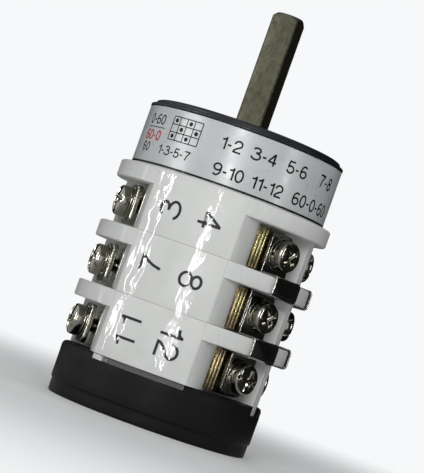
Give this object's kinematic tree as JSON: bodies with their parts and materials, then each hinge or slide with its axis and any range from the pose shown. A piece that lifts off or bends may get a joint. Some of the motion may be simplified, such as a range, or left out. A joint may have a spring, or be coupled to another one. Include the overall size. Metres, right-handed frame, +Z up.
{
  "type": "motor reversing switch",
  "caption": "Barrel-type rotary cam switch with stacked terminal decks, a round drum, a base cap and a square shaft.",
  "frame": {"origin": "on the shaft axis at the underside of the base cap", "axes": "+Z up along the shaft, -Y towards the numbered front panel, +X to the right"},
  "size_m": [0.0568, 0.0568, 0.1109],
  "materials": {
    "shaft_steel": "oiled, matt grey-olive",
    "bright_steel": "zinc plated",
    "spring_steel": "bright",
    "screw_nickel": "nickel plated",
    "nickel_strap": "nickel plated",
    "clamp_plated": "nickel plated brass",
    "contact_brass": "bare brass",
    "rotor_plastic": "moulded",
    "deck_plastic": "moulded, satin",
    "label_paper": "printed paper",
    "plate_black": "satin",
    "cap_black": "satin moulded",
    "black_insulation": "matt",
    "plunger_phenolic": "moulded phenolic",
    "clear_film": "glossy clear film"
  },
  "bodies": {
    "housing": {"top_plate": "plate_black", "plate_screws": "bright_steel", "drum_housing": "deck_plastic", "label": "label_paper", "front_film": "clear_film", "back_film": "clear_film", "tie_screws": "bright_steel", "tie_nuts": "bright_steel", "bottom_cap": "cap_black", "link_strap_front_upper": "nickel_strap", "link_strap_front_lower": "nickel_strap", "detent_roller_front": "bright_steel", "detent_slider_front": "black_insulation", "detent_spring_front": "spring_steel", "link_strap_back_upper": "nickel_strap", "link_strap_back_lower": "nickel_strap", "detent_roller_back": "bright_steel", "detent_slider_back": "black_insulation", "detent_spring_back": "spring_steel", "deck_1": "deck_plastic", "fixed_contacts_deck_1": "contact_brass", "clamp_plates_deck_1": "clamp_plated", "washers_deck_1": "spring_steel", "terminal_screws_deck_1": "screw_nickel", "plunger_front_1": "plunger_phenolic", "bridge_contact_front_1": "contact_brass", "contact_spring_front_1": "spring_steel", "plunger_back_1": "plunger_phenolic", "bridge_contact_back_1": "contact_brass", "contact_spring_back_1": "spring_steel", "deck_2": "deck_plastic", "fixed_contacts_deck_2": "contact_brass", "clamp_plates_deck_2": "clamp_plated", "washers_deck_2": "spring_steel", "terminal_screws_deck_2": "screw_nickel", "plunger_front_2": "plunger_phenolic", "bridge_contact_front_2": "contact_brass", "contact_spring_front_2": "spring_steel", "plunger_back_2": "plunger_phenolic", "bridge_contact_back_2": "contact_brass", "contact_spring_back_2": "spring_steel", "deck_3": "deck_plastic", "fixed_contacts_deck_3": "contact_brass", "clamp_plates_deck_3": "clamp_plated", "washers_deck_3": "spring_steel", "terminal_screws_deck_3": "screw_nickel", "plunger_front_3": "plunger_phenolic", "bridge_contact_front_3": "contact_brass", "contact_spring_front_3": "spring_steel", "plunger_back_3": "plunger_phenolic", "bridge_contact_back_3": "contact_brass", "contact_spring_back_3": "spring_steel"},
    "rotor": {"shaft": "shaft_steel", "retaining_clip": "bright_steel", "detent_wheel": "rotor_plastic", "cam_1": "rotor_plastic", "cam_2": "rotor_plastic", "cam_3": "rotor_plastic"}
  },
  "joints": [
    {"name": "shaft_turn", "type": "hinge", "parent": "housing", "child": "rotor", "pos_m": [0, 0, 0], "axis": [0, 0, 1], "range_deg": [-60, 60]}
  ]
}
